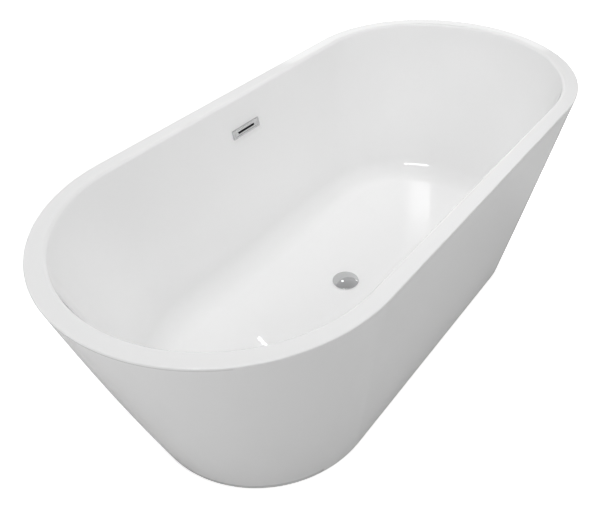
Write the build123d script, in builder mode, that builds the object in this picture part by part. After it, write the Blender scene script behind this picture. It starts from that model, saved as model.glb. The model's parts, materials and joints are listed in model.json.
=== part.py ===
from build123d import *

import os
from math import atan, cos, sin

# A freestanding double-walled bathtub. All sizes are in millimetres.
# X runs along the tub, Y across it towards the overflow, Z up from the floor it stands on.

# Outer form
tub_length = 1700
tub_width = 800
tub_height = 600
base_length = 1360
base_width = 600
end_swell = 5.5
floor_gap = 6
skirt_wall = 5

# Basin, set off from the skirt by the hollow between the two walls at floor level
rim_width = 41
rim_thickness = 8
rim_inner_round = 10
rim_outer_round = 2.5
basin_wall = 5
basin_floor_height = 114
basin_floor_thickness = 8
basin_floor_round = 75
side_hollow = 28
end_hollow = 51

# Board and steel frame under the basin
board_length = 1120
board_width = 410
board_thickness = 15
rail_size = 30
rail_wall = 2
rail_corner = 3
rail_length = 1040
rail_spacing = 370
cross_bar_inner_spacing = 320
cross_bar_inset = 90
end_cap_head = 3
end_cap_plug = 12
end_cap_clearance = 0.15
frame_screw_diameter = 5
frame_screw_head_rim = 2.5
frame_screw_head_height = 3
frame_screw_spacing = 180
frame_screw_bite = 11
screw_clearance = 0.1

# Pressed brackets between the frame and the skirt
bracket_spacing = 600
bracket_width = 44
bracket_thickness = 3
bracket_leg = 26
bracket_tab = 34
bond_gap = 0.3
bracket_bolt_diameter = 6
bracket_bolt_head_rim = 2
bracket_bolt_head_height = 4
bracket_bolt_spacing = 22
bracket_bolt_reach = 8

# Levelling feet
foot_inset = 30
stud_diameter = 12
thread_clearance = 0.1
nut_wall = 3.5
weld_nut_height = 10
lock_nut_height = 6
stud_headroom = 6
stud_hole_clearance = 0.5
collar_height = 7
collar_rim = 2.5
pad_diameter = 56
pad_edge_height = 6
pad_neck_wall = 9
pad_height = 16
pad_sole = 5
pad_clearance = 0.3

# Drain through the basin floor
flange_diameter = 72
flange_thickness = 2
recess_clearance = 1
drain_gasket_thickness = 1.5
tail_diameter = 48
tail_wall = 4
tail_clearance = 1
washer_rim = 11
washer_thickness = 3
back_nut_wall = 9
back_nut_height = 9
spanner_room = 22

# Plug and the bridge that guides it
plug_overhang = 2
plug_edge = 2
plug_edge_gap = 1
plug_crown = 7
plug_boss_wall = 4
plug_boss_height = 6
seal_width = 8
seal_inset = 3
seal_thickness = 3
seat_clearance = 0.3
running_clearance = 0.1
spindle_diameter = 8
cartridge_wall = 2
cartridge_collar_rim = 2.5
cartridge_collar_height = 4
cartridge_length = 20
bridge_depth = 18
bridge_height = 8
bridge_hub_wall = 4
bridge_spoke_width = 5

# Waste tee under the drain
tee_wall = 5
tee_neck_diameter = 48
tee_neck_margin = 4
tee_taper = 4
tee_socket_depth = 26
outlet_diameter = 40
outlet_wall = 3
outlet_end_height = 18
union_nut_wall = 6
union_nut_height = 14
union_nut_lip = 4

# Overflow hose, its spigots and clips
hose_diameter = 20
hose_wall = 2
hose_bend = 45
hose_rail_clearance = 3
hose_end_gap = 3
spigot_wall = 2
spigot_reach = 30
clip_width = 8
clip_band = 0.8
clip_inset = 8
clip_housing_length = 12
clip_housing_height = 6
clip_clearance = 0.05

# Overflow cover and the hollow body behind it
overflow_drop = 93
cover_length = 108
cover_height = 26
cover_thickness = 5
cover_corner = 2
cover_edge_bevel = 1
cover_border = 4.5
dish_depth = 1.2
dish_margin = 3
slot_length = 66
slot_height = 6
sleeve_margin = 2.5
sleeve_wall = 1.5
sleeve_depth = 16
opening_clearance = 1
overflow_gasket_thickness = 2.5
overflow_body_rim = 10
overflow_body_top_rim = 7
overflow_body_bottom = 30
overflow_body_depth = 22
overflow_body_wall = 3
overflow_body_corner = 4

# Heights of the stacked pieces
rim_underside = tub_height - rim_thickness
board_top = basin_floor_height - basin_floor_thickness
rail_top = board_top - board_thickness
rail_middle = rail_top - rail_size / 2
rail_bottom = rail_top - rail_size
lock_nut_top = rail_bottom - weld_nut_height
flange_top = basin_floor_height
flange_underside = flange_top - flange_thickness
recess_floor = flange_underside - drain_gasket_thickness
washer_bottom = board_top - washer_thickness
back_nut_bottom = washer_bottom - back_nut_height
bridge_top = flange_top - bridge_depth
bridge_bottom = bridge_top - bridge_height
hose_level = rail_bottom - hose_rail_clearance - hose_diameter / 2

# Radii that follow from the sizes above
stud_radius = stud_diameter / 2
tail_radius = tail_diameter / 2
tail_bore = tail_radius - tail_wall
socket_bore = tail_radius + thread_clearance
socket_radius = socket_bore + tee_wall
neck_radius = tee_neck_diameter / 2
outlet_radius = outlet_diameter / 2
outlet_bore = outlet_radius - outlet_wall
spindle_radius = spindle_diameter / 2
spindle_bore = spindle_radius + running_clearance
cartridge_radius = spindle_bore + cartridge_wall
hose_radius = hose_diameter / 2
hose_bore = hose_radius - hose_wall
spigot_radius = hose_bore - running_clearance
spigot_bore = spigot_radius - spigot_wall
back_nut_flat = tail_radius + back_nut_wall

# Places of what repeats
sides = {"front": -1, "rear": 1}
ends = {"left": -1, "right": 1}
rail_offset = rail_spacing / 2
rail_outer_face = rail_offset + rail_size / 2
rail_inner_face = rail_offset - rail_size / 2
foot_spacing = rail_length - 2 * foot_inset
cross_bars = {"outer": rail_length / 2 - cross_bar_inset, "inner": cross_bar_inner_spacing / 2}

os.makedirs("parts", exist_ok=True)


def write(piece, name):
    """Label a finished piece and write it to its own file."""
    piece.part.label = name
    export_step(piece.part, f"parts/{name}.step")


def skirt_outline(height, inset=0):
    """Half length and half width of the outer form at a height, drawn in by an inset."""
    rise = (height - floor_gap) / (tub_height - floor_gap)
    swell = 4 * end_swell * rise * (1 - rise)
    half_length = base_length / 2 + (tub_length - base_length) / 2 * rise + swell
    half_width = base_width / 2 + (tub_width - base_width) / 2 * rise
    return height, half_length - inset, half_width - inset


# The basin's floor, measured where its walls would meet it without the rounding
skirt_at_floor = skirt_outline(basin_floor_height, skirt_wall + basin_wall)
basin_floor_half_length = skirt_at_floor[1] - end_hollow
basin_floor_half_width = skirt_at_floor[2] - side_hollow
end_wall_run = tub_length / 2 - rim_width - basin_floor_half_length
side_wall_run = tub_width / 2 - rim_width - basin_floor_half_width
wall_lean = atan(side_wall_run / (tub_height - basin_floor_height))


def basin_outline(height, outset=0):
    """Half length and half width of the basin's inside at a height, let out by an outset."""
    rise = (height - basin_floor_height) / (tub_height - basin_floor_height)
    half_length = basin_floor_half_length + end_wall_run * rise
    half_width = basin_floor_half_width + side_wall_run * rise
    return height, half_length + outset, half_width + outset


def stadium_loft(*outlines):
    """A solid through round-ended outlines, each a height, a half length and a half width."""
    with BuildPart() as solid:
        for height, half_length, half_width in outlines:
            with BuildSketch(Plane.XY.offset(height)):
                SlotOverall(2 * half_length, 2 * half_width)
        loft()
    return solid.part


def bowl(floor_outline, top_outline, round_radius):
    """A tapering bowl-shaped solid with its lower edge rounded."""
    with BuildPart() as solid:
        add(stadium_loft(floor_outline, top_outline))
        fillet(solid.edges().group_by(Axis.Z)[0], round_radius)
    return solid.part


def upright_plane(x, y):
    """A plane through an upright axis, for outlines given as radius and height."""
    return Plane(origin=(x, y, 0), x_dir=(1, 0, 0), z_dir=(0, -1, 0))


def turned(outline, x=0, y=0):
    """A piece turned on an upright axis from its outline of radius and height."""
    with BuildPart() as piece:
        with BuildSketch(upright_plane(x, y)):
            with BuildLine():
                Polyline(*outline, close=True)
            make_face()
        revolve(axis=Axis((x, y, 0), (0, 0, 1)))
    return piece


def ring(inner, outer, bottom, top):
    """A plain ring on the drain's axis, between two radii."""
    return turned([(inner, bottom), (outer, bottom), (outer, top), (inner, top)])


# Skirt: the outer wall, open below, with its top edge bonded under the rim
skirt_heights = (floor_gap, (floor_gap + rim_underside) / 2, rim_underside)
with BuildPart() as skirt:
    add(stadium_loft(*[skirt_outline(height) for height in skirt_heights]))
    add(
        stadium_loft(*[skirt_outline(height, skirt_wall) for height in skirt_heights]),
        mode=Mode.SUBTRACT,
    )
write(skirt, "skirt")

# Basin: flat rim, leaning walls and a rounded floor, pierced for the drain and the overflow
overflow_height = tub_height - overflow_drop
overflow_y = basin_outline(overflow_height)[2]
sleeve_length = slot_length + 2 * (sleeve_margin + sleeve_wall)
sleeve_height = slot_height + 2 * (sleeve_margin + sleeve_wall)
wall_plane = Plane(
    origin=(0, overflow_y, overflow_height),
    x_dir=(1, 0, 0),
    z_dir=(0, -cos(wall_lean), sin(wall_lean)),
)
with BuildPart() as basin:
    add(stadium_loft(skirt_outline(rim_underside), skirt_outline(tub_height)))
    add(
        bowl(
            basin_outline(board_top, basin_wall),
            basin_outline(tub_height, basin_wall),
            basin_floor_round + basin_wall,
        )
    )
    add(
        bowl(basin_outline(basin_floor_height), basin_outline(tub_height), basin_floor_round),
        mode=Mode.SUBTRACT,
    )
    rim_face = basin.faces().sort_by(Axis.Z)[-1]
    fillet(rim_face.inner_wires()[0].edges(), rim_inner_round)
    rim_face = basin.faces().sort_by(Axis.Z)[-1]
    fillet(rim_face.outer_wire().edges(), rim_outer_round)
    with Locations((0, 0, basin_floor_height)):
        CounterBoreHole(
            tail_radius + tail_clearance,
            flange_diameter / 2 + recess_clearance,
            basin_floor_height - recess_floor,
            2 * basin_floor_thickness,
        )
    with BuildSketch(wall_plane):
        Rectangle(sleeve_length + 2 * opening_clearance, sleeve_height + 2 * opening_clearance)
    extrude(amount=2 * basin_wall, both=True, mode=Mode.SUBTRACT)
write(basin, "basin")

# Board bonded under the basin floor
screw_places = [
    (end * reach, side * frame_screw_spacing / 2)
    for reach in cross_bars.values()
    for end in ends.values()
    for side in sides.values()
]
screw_hole = frame_screw_diameter / 2 + screw_clearance
with BuildPart() as base_board:
    with BuildSketch(Plane.XY.offset(rail_top)):
        SlotOverall(board_length, board_width)
        Circle(back_nut_flat + spanner_room, mode=Mode.SUBTRACT)
    extrude(amount=board_thickness)
    with BuildSketch(Plane.XY.offset(rail_top)):
        with Locations(*screw_places):
            Circle(screw_hole)
    extrude(amount=frame_screw_bite, mode=Mode.SUBTRACT)
write(base_board, "base_board")

# Long rails of square tube, drilled for the studs and the bracket bolts
stud_hole = stud_radius + stud_hole_clearance
bolt_hole = bracket_bolt_diameter / 2 + screw_clearance
bolt_height = rail_bottom + bracket_leg / 2 + bracket_thickness
bolt_places = [
    (end * bracket_spacing / 2 + along * bracket_bolt_spacing / 2, 0)
    for end in ends.values()
    for along in (-1, 1)
]
for side_name, side in sides.items():
    outward_plane = Plane(
        origin=(0, side * (rail_outer_face - rail_wall), bolt_height),
        x_dir=(1, 0, 0),
        z_dir=(0, side, 0),
    )
    with BuildPart() as rail:
        with BuildSketch(Plane.YZ.offset(-rail_length / 2)):
            with Locations((side * rail_offset, rail_middle)):
                RectangleRounded(rail_size, rail_size, rail_corner)
                Rectangle(
                    rail_size - 2 * rail_wall, rail_size - 2 * rail_wall, mode=Mode.SUBTRACT
                )
        extrude(amount=rail_length)
        with BuildSketch(Plane.XY.offset(rail_bottom)):
            with Locations((0, side * rail_offset)):
                with GridLocations(foot_spacing, 0, 2, 1):
                    Circle(stud_hole)
        extrude(amount=rail_wall, mode=Mode.SUBTRACT)
        with BuildSketch(outward_plane):
            with Locations(*bolt_places):
                Circle(bolt_hole)
        extrude(amount=rail_wall, mode=Mode.SUBTRACT)
    write(rail, f"rail_{side_name}")

# Cross bars welded between the rails, drilled for the screws up into the board
for bar_name, reach in cross_bars.items():
    for end_name, end in ends.items():
        with BuildPart() as cross_bar:
            with BuildSketch(Plane.XZ.offset(-rail_inner_face)):
                with Locations((end * reach, rail_middle)):
                    RectangleRounded(rail_size, rail_size, rail_corner)
                    Rectangle(
                        rail_size - 2 * rail_wall, rail_size - 2 * rail_wall, mode=Mode.SUBTRACT
                    )
            extrude(amount=2 * rail_inner_face)
            with BuildSketch(Plane.XY.offset(rail_bottom)):
                with Locations((end * reach, 0)):
                    with GridLocations(0, frame_screw_spacing, 1, 2):
                        Circle(screw_hole)
            extrude(amount=rail_size, mode=Mode.SUBTRACT)
        write(cross_bar, f"cross_bar_{bar_name}_{end_name}")

# Plastic caps that close the rail ends
cap_plug_size = rail_size - 2 * rail_wall - 2 * end_cap_clearance
with BuildPart() as rail_end_caps:
    for end in ends.values():
        rail_end = Plane(origin=(end * rail_length / 2, 0, rail_middle), z_dir=(end, 0, 0))
        with BuildSketch(rail_end):
            with GridLocations(0, rail_spacing, 1, 2):
                RectangleRounded(rail_size, rail_size, rail_corner)
        extrude(amount=end_cap_head)
        with BuildSketch(rail_end):
            with GridLocations(0, rail_spacing, 1, 2):
                Rectangle(cap_plug_size, cap_plug_size)
        extrude(amount=-end_cap_plug)
write(rail_end_caps, "rail_end_caps")

# Screws from under the cross bars into the board
with BuildPart() as frame_screws:
    with BuildSketch(Plane.XY.offset(rail_bottom)):
        with Locations(*screw_places):
            Circle(frame_screw_diameter / 2 + frame_screw_head_rim)
    extrude(amount=-frame_screw_head_height)
    fillet(frame_screws.edges().group_by(Axis.Z)[0], frame_screw_head_height / 2)
    with BuildSketch(Plane.XY.offset(rail_bottom)):
        with Locations(*screw_places):
            Circle(frame_screw_diameter / 2)
    extrude(amount=rail_size + frame_screw_bite)
write(frame_screws, "frame_screws")


def skirt_face(height):
    """Where a bracket's tab stands against the inside of the skirt's long wall."""
    return skirt_outline(height, skirt_wall + bond_gap)[2]


# Pressed steel brackets that tie the skirt's lower edge to the rails
tab_top = rail_bottom + bracket_tab
web_top = rail_bottom + bracket_thickness
leg_top = rail_bottom + bracket_leg + bracket_thickness
leg_outer_face = rail_outer_face + bracket_thickness
for side_name, side in sides.items():
    bracket_outline = [
        (rail_outer_face, leg_top),
        (rail_outer_face, rail_bottom),
        (skirt_face(rail_bottom), rail_bottom),
        (skirt_face(tab_top), tab_top),
        (skirt_face(tab_top) - bracket_thickness, tab_top),
        (skirt_face(web_top) - bracket_thickness, web_top),
        (leg_outer_face, web_top),
        (leg_outer_face, leg_top),
    ]
    outward_plane = Plane(
        origin=(0, side * rail_outer_face, bolt_height), x_dir=(1, 0, 0), z_dir=(0, side, 0)
    )
    for end_name, end in ends.items():
        with BuildPart() as skirt_bracket:
            with BuildSketch(Plane.YZ.offset(end * bracket_spacing / 2 - bracket_width / 2)):
                with BuildLine():
                    Polyline(*[(side * y, z) for y, z in bracket_outline], close=True)
                make_face()
            extrude(amount=bracket_width)
            with BuildSketch(outward_plane):
                with Locations(*bolt_places):
                    Circle(bolt_hole)
            extrude(amount=bracket_thickness, mode=Mode.SUBTRACT)
        write(skirt_bracket, f"skirt_bracket_{side_name}_{end_name}")

# Bolts through the brackets into the rails
with BuildPart() as bracket_bolts:
    for side in sides.values():
        head_plane = Plane(
            origin=(0, side * leg_outer_face, bolt_height), x_dir=(1, 0, 0), z_dir=(0, side, 0)
        )
        with BuildSketch(head_plane):
            with Locations(*bolt_places):
                RegularPolygon(bracket_bolt_diameter / 2 + bracket_bolt_head_rim, 6, major_radius=False)
        extrude(amount=bracket_bolt_head_height)
        with BuildSketch(head_plane):
            with Locations(*bolt_places):
                Circle(bracket_bolt_diameter / 2)
        extrude(amount=-(bracket_thickness + rail_wall + bracket_bolt_reach))
write(bracket_bolts, "bracket_bolts")

# Nuts under the rails: one welded on for each stud, and a thin lock nut below it
nuts_below_rail = {
    "weld_nuts": (rail_bottom, weld_nut_height),
    "lock_nuts": (lock_nut_top, lock_nut_height),
}
for nut_name, (nut_top, nut_height) in nuts_below_rail.items():
    with BuildPart() as nuts:
        with BuildSketch(Plane.XY.offset(nut_top)):
            with GridLocations(foot_spacing, rail_spacing, 2, 2):
                RegularPolygon(stud_radius + nut_wall, 6, major_radius=False)
                Circle(stud_radius + thread_clearance, mode=Mode.SUBTRACT)
        extrude(amount=-nut_height)
    write(nuts, nut_name)

# Levelling feet: a threaded stud with a spanner collar, turning in a soft pad
stud_top = rail_top - rail_wall - stud_headroom
stud_bottom = pad_sole + pad_clearance
collar_bottom = pad_height + pad_clearance
pad_outline = [
    (0, 0),
    (pad_diameter / 2, 0),
    (pad_diameter / 2, pad_edge_height),
    (stud_radius + pad_neck_wall, pad_height),
    (stud_radius + thread_clearance, pad_height),
    (stud_radius + thread_clearance, pad_sole),
    (0, pad_sole),
]
for side_name, side in sides.items():
    for end_name, end in ends.items():
        foot_x, foot_y = end * foot_spacing / 2, side * rail_offset
        foot_pad = turned(pad_outline, foot_x, foot_y)
        write(foot_pad, f"foot_pad_{side_name}_{end_name}")
        with BuildPart() as foot_stud:
            with BuildSketch(Plane.XY.offset(stud_bottom)):
                with Locations((foot_x, foot_y)):
                    Circle(stud_radius)
            extrude(amount=stud_top - stud_bottom)
            with BuildSketch(Plane.XY.offset(collar_bottom)):
                with Locations((foot_x, foot_y)):
                    RegularPolygon(stud_radius + collar_rim, 6, major_radius=False)
            extrude(amount=collar_height)
        write(foot_stud, f"foot_stud_{side_name}_{end_name}")

# Drain flange: a flush ring with a threaded tail and a spoked bridge for the plug's cartridge
tee_neck_bottom = hose_level - spigot_radius - tee_neck_margin
tee_neck_top = hose_level + spigot_radius + tee_neck_margin
tail_end = tee_neck_top + tee_taper
flange_outline = [
    (tail_bore, tail_end),
    (tail_radius, tail_end),
    (tail_radius, flange_underside),
    (flange_diameter / 2, flange_underside),
    (flange_diameter / 2, flange_top),
    (tail_bore + flange_thickness, flange_top),
    (tail_bore, flange_underside),
]
spoke_length = tail_bore + tail_wall / 2
with BuildPart() as drain_flange:
    add(turned(flange_outline).part)
    with BuildSketch(Plane.XY.offset(bridge_bottom)):
        Circle(cartridge_radius + bridge_hub_wall)
        with PolarLocations(spoke_length / 2, 3):
            Rectangle(spoke_length, bridge_spoke_width)
        Circle(cartridge_radius + running_clearance, mode=Mode.SUBTRACT)
    extrude(amount=bridge_height)
write(drain_flange, "drain_flange")

# Seals and nut that clamp the flange to the basin floor
drain_gasket = ring(tail_radius + tail_clearance, flange_diameter / 2, recess_floor, flange_underside)
write(drain_gasket, "drain_gasket")
drain_washer = ring(socket_bore, tail_radius + washer_rim, washer_bottom, board_top)
write(drain_washer, "drain_washer")
with BuildPart() as drain_back_nut:
    with BuildSketch(Plane.XY.offset(back_nut_bottom)):
        RegularPolygon(back_nut_flat, 8, major_radius=False)
        Circle(socket_bore, mode=Mode.SUBTRACT)
    extrude(amount=back_nut_height)
write(drain_back_nut, "drain_back_nut")

# Push-to-open plug: cap, seal and spindle move together in the fixed cartridge
cartridge_top = bridge_top + cartridge_collar_height
cartridge_bottom = bridge_top - cartridge_length
cartridge_floor = cartridge_bottom + cartridge_wall
cartridge_collar = cartridge_radius + cartridge_collar_rim
drain_cartridge = turned(
    [
        (0, cartridge_bottom),
        (cartridge_radius, cartridge_bottom),
        (cartridge_radius, bridge_top),
        (cartridge_collar, bridge_top),
        (cartridge_collar, cartridge_top),
        (spindle_bore, cartridge_top),
        (spindle_bore, cartridge_floor),
        (0, cartridge_floor),
    ]
)
write(drain_cartridge, "drain_cartridge")

seal_bottom = flange_top + seat_clearance
plug_underside = seal_bottom + seal_thickness
spindle_bottom = cartridge_floor + seat_clearance
plug_spindle = turned(
    [
        (0, spindle_bottom),
        (spindle_radius, spindle_bottom),
        (spindle_radius, plug_underside),
        (0, plug_underside),
    ]
)
write(plug_spindle, "plug_spindle")

seal_inner = tail_bore + seal_inset
seal_outer = seal_inner + seal_width
plug_seal = ring(seal_inner, seal_outer, seal_bottom, plug_underside)
write(plug_seal, "plug_seal")

plug_radius = flange_diameter / 2 + plug_overhang
plug_edge_bottom = flange_top + plug_edge_gap
plug_edge_top = plug_edge_bottom + plug_edge
plug_crown_top = plug_edge_top + plug_crown
dome_radius = (plug_radius**2 + plug_crown**2) / (2 * plug_crown)
seal_pocket = seal_outer + running_clearance
boss_bottom = plug_underside - plug_boss_height
with BuildPart() as plug_cap:
    with BuildSketch(upright_plane(0, 0)):
        with BuildLine():
            Polyline(
                (0, plug_crown_top),
                (0, plug_underside),
                (spindle_bore, plug_underside),
                (spindle_bore, boss_bottom),
                (spindle_bore + plug_boss_wall, boss_bottom),
                (spindle_bore + plug_boss_wall, plug_underside),
                (seal_pocket, plug_underside),
                (seal_pocket, plug_edge_bottom),
                (plug_radius, plug_edge_bottom),
                (plug_radius, plug_edge_top),
            )
            RadiusArc((0, plug_crown_top), (plug_radius, plug_edge_top), dome_radius)
        make_face()
    revolve(axis=Axis.Z)
write(plug_cap, "plug_cap")

# Waste tee: socket round the tail, outlet straight down, and a spigot for the overflow hose
socket_top = tail_end + tee_socket_depth
tee_outline = [
    (outlet_bore, outlet_end_height),
    (outlet_radius, outlet_end_height),
    (outlet_radius, tee_neck_bottom),
    (neck_radius, tee_neck_bottom),
    (neck_radius, tee_neck_top),
    (socket_radius, tail_end),
    (socket_radius, socket_top),
    (socket_bore, socket_top),
    (socket_bore, tail_end),
    (outlet_bore, tail_end),
]
tee_side = Plane(origin=(0, 0, hose_level), x_dir=(1, 0, 0), z_dir=(0, 1, 0))
neck_wall_middle = (outlet_bore + neck_radius) / 2
with BuildPart() as waste_tee:
    add(turned(tee_outline).part)
    with BuildSketch(tee_side.offset(neck_wall_middle)):
        Circle(spigot_radius)
    extrude(amount=neck_radius - neck_wall_middle + spigot_reach)
    with BuildSketch(tee_side):
        Circle(spigot_bore)
    extrude(amount=neck_radius + spigot_reach, mode=Mode.SUBTRACT)
write(waste_tee, "waste_tee")
with BuildPart() as waste_union_nut:
    with BuildSketch(Plane.XY.offset(socket_top + union_nut_lip)):
        RegularPolygon(socket_radius + union_nut_wall, 8, major_radius=False)
        Circle(socket_bore, mode=Mode.SUBTRACT)
    extrude(amount=-union_nut_height)
    with BuildSketch(Plane.XY.offset(socket_top)):
        Circle(socket_radius + thread_clearance)
    extrude(amount=-union_nut_height, mode=Mode.SUBTRACT)
write(waste_union_nut, "waste_union_nut")

# Overflow cover: a slim plate dished towards a slot, with a sleeve through the basin wall
with BuildPart() as overflow_cover:
    with BuildSketch(wall_plane):
        RectangleRounded(cover_length, cover_height, cover_corner)
    extrude(amount=cover_thickness)
    front_face = overflow_cover.faces().sort_by(Axis(wall_plane.origin, wall_plane.z_dir))[-1]
    chamfer(front_face.edges(), cover_edge_bevel)
    with BuildSketch(wall_plane.offset(cover_thickness)):
        Rectangle(cover_length - 2 * cover_border, cover_height - 2 * cover_border)
    with BuildSketch(wall_plane.offset(cover_thickness - dish_depth)):
        Rectangle(slot_length + 2 * dish_margin, slot_height + 2 * dish_margin)
    loft(mode=Mode.SUBTRACT)
    with BuildSketch(wall_plane):
        Rectangle(slot_length, slot_height)
    extrude(amount=cover_thickness, mode=Mode.SUBTRACT)
    with BuildSketch(wall_plane):
        Rectangle(sleeve_length, sleeve_height)
        Rectangle(
            sleeve_length - 2 * sleeve_wall, sleeve_height - 2 * sleeve_wall, mode=Mode.SUBTRACT
        )
    extrude(amount=-sleeve_depth)
write(overflow_cover, "overflow_cover")

# Gasket and hollow body behind the wall
overflow_body_length = sleeve_length + 2 * overflow_body_rim
overflow_body_top = sleeve_height / 2 + overflow_body_top_rim
body_height = overflow_body_top + overflow_body_bottom
body_centre = (0, (overflow_body_top - overflow_body_bottom) / 2)
body_front = wall_plane.offset(-basin_wall - overflow_gasket_thickness)
socket_length = sleeve_length + 2 * running_clearance
socket_height = sleeve_height + 2 * running_clearance
with BuildPart() as overflow_gasket:
    with BuildSketch(body_front):
        with Locations(body_centre):
            RectangleRounded(overflow_body_length, body_height, overflow_body_corner)
        Rectangle(socket_length, socket_height, mode=Mode.SUBTRACT)
    extrude(amount=overflow_gasket_thickness)
write(overflow_gasket, "overflow_gasket")


def gap_middle(height):
    """Middle of the space between the basin's long wall and the skirt at a height."""
    basin_back = basin_outline(height, basin_wall / cos(wall_lean))[2]
    return (basin_back + skirt_outline(height, skirt_wall)[2]) / 2


# The hose drops from the body through that space, turns under the rail and meets the tee
body_back = basin_wall + overflow_gasket_thickness + overflow_body_depth
body_drop = overflow_body_bottom * cos(wall_lean) + body_back * sin(wall_lean)
hose_top_height = overflow_height - body_drop - hose_end_gap
hose_top = Vector(0, gap_middle(hose_top_height), hose_top_height)
hose_corner = Vector(0, gap_middle(hose_level), hose_level)
hose_rise = (hose_top - hose_corner).normalized()
hose_start_y = neck_radius + hose_end_gap
hose_top_plane = Plane(origin=hose_top, x_dir=(1, 0, 0), z_dir=-hose_rise)
spigot_root = overflow_body_wall + hose_end_gap
with BuildPart() as overflow_body:
    with BuildSketch(body_front):
        with Locations(body_centre):
            RectangleRounded(overflow_body_length, body_height, overflow_body_corner)
    extrude(amount=-overflow_body_depth)
    with BuildSketch(body_front.offset(-overflow_body_wall)):
        with Locations(body_centre):
            Rectangle(
                overflow_body_length - 2 * overflow_body_wall, body_height - 2 * overflow_body_wall
            )
    extrude(amount=2 * overflow_body_wall - overflow_body_depth, mode=Mode.SUBTRACT)
    with BuildSketch(body_front):
        Rectangle(socket_length, socket_height)
    extrude(amount=-overflow_body_wall, mode=Mode.SUBTRACT)
    with BuildSketch(hose_top_plane.offset(-spigot_root)):
        Circle(spigot_radius)
    extrude(amount=spigot_root + spigot_reach)
    with BuildSketch(hose_top_plane.offset(-2 * spigot_root)):
        Circle(spigot_bore)
    extrude(amount=2 * spigot_root + spigot_reach, mode=Mode.SUBTRACT)
write(overflow_body, "overflow_body")

with BuildPart() as overflow_hose:
    with BuildLine(Plane.YZ):
        FilletPolyline(
            (hose_start_y, hose_level),
            (hose_corner.Y, hose_corner.Z),
            (hose_top.Y, hose_top.Z),
            radius=hose_bend,
        )
    with BuildSketch(Plane(origin=(0, hose_start_y, hose_level), z_dir=(0, 1, 0))):
        Circle(hose_radius)
        Circle(hose_bore, mode=Mode.SUBTRACT)
    sweep()
write(overflow_hose, "overflow_hose")

# Worm-drive clips that hold the hose on its spigots
clip_radius = hose_radius + clip_clearance
clip_planes = {
    "upper": hose_top_plane.offset(clip_inset),
    "lower": tee_side.offset(hose_start_y + clip_inset),
}
for clip_name, clip_plane in clip_planes.items():
    with BuildPart() as hose_clip:
        with BuildSketch(clip_plane):
            Circle(clip_radius + clip_band)
            with Locations((clip_radius + clip_housing_height / 2, 0)):
                RectangleRounded(clip_housing_height, clip_housing_length, clip_band)
            Circle(clip_radius, mode=Mode.SUBTRACT)
        extrude(amount=clip_width)
    write(hose_clip, f"hose_clip_{clip_name}")
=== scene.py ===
"""The finished surfaces of a freestanding bathtub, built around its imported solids."""

import json
import math

import bmesh
import bpy
import numpy as np
from bpy.props import FloatProperty, FloatVectorProperty, PointerProperty
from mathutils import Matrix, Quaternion, Vector


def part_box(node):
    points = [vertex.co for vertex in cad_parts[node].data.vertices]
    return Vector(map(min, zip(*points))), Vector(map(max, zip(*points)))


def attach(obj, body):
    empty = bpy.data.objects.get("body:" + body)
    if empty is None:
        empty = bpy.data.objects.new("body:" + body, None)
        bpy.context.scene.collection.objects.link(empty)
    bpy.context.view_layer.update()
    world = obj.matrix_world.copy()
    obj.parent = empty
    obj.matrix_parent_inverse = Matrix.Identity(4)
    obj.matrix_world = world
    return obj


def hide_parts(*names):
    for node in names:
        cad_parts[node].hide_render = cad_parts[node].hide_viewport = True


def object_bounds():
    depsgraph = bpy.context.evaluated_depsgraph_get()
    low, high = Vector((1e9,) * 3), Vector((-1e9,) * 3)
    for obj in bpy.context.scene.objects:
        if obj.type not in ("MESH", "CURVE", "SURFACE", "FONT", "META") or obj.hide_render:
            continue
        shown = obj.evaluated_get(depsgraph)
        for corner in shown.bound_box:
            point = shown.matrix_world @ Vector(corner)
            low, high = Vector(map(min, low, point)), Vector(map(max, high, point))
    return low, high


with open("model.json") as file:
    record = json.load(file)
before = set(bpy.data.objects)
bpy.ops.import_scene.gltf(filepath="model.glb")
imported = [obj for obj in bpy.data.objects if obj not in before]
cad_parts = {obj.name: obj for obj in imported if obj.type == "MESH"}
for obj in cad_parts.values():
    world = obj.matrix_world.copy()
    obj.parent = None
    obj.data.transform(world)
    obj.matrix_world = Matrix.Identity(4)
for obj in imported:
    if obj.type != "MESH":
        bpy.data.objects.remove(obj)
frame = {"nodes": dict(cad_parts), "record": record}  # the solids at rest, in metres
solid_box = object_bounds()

bl_info = {
    "name": "Freestanding bathtub",
    "version": (1, 0, 0),
    "blender": (4, 5, 0),
    "location": "3D View > Sidebar > Bathtub",
    "description": "Builds the finished surfaces of a freestanding bathtub around its solids",
    "category": "Object",
}

slot_of_node = {part["node"]: part["material_slot"] for part in frame["record"]["subparts"]}
millimetre = 0.001
merge_distance = 0.001 * millimetre
sliver_size = 0.0001 * millimetre
sharp_angle = math.radians(38)


def length(name, description, default):
    """A size in metres that a user may change."""
    return FloatProperty(name=name, description=description, default=default, unit="LENGTH", precision=4)


def colour(name, description, default):
    """A colour that a user may change."""
    return FloatVectorProperty(
        name=name, description=description, default=default, subtype="COLOR", size=3, min=0.0, max=1.0
    )


def amount(name, description, default):
    """A plain number that a user may change."""
    return FloatProperty(name=name, description=description, default=default, min=0.0)


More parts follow.
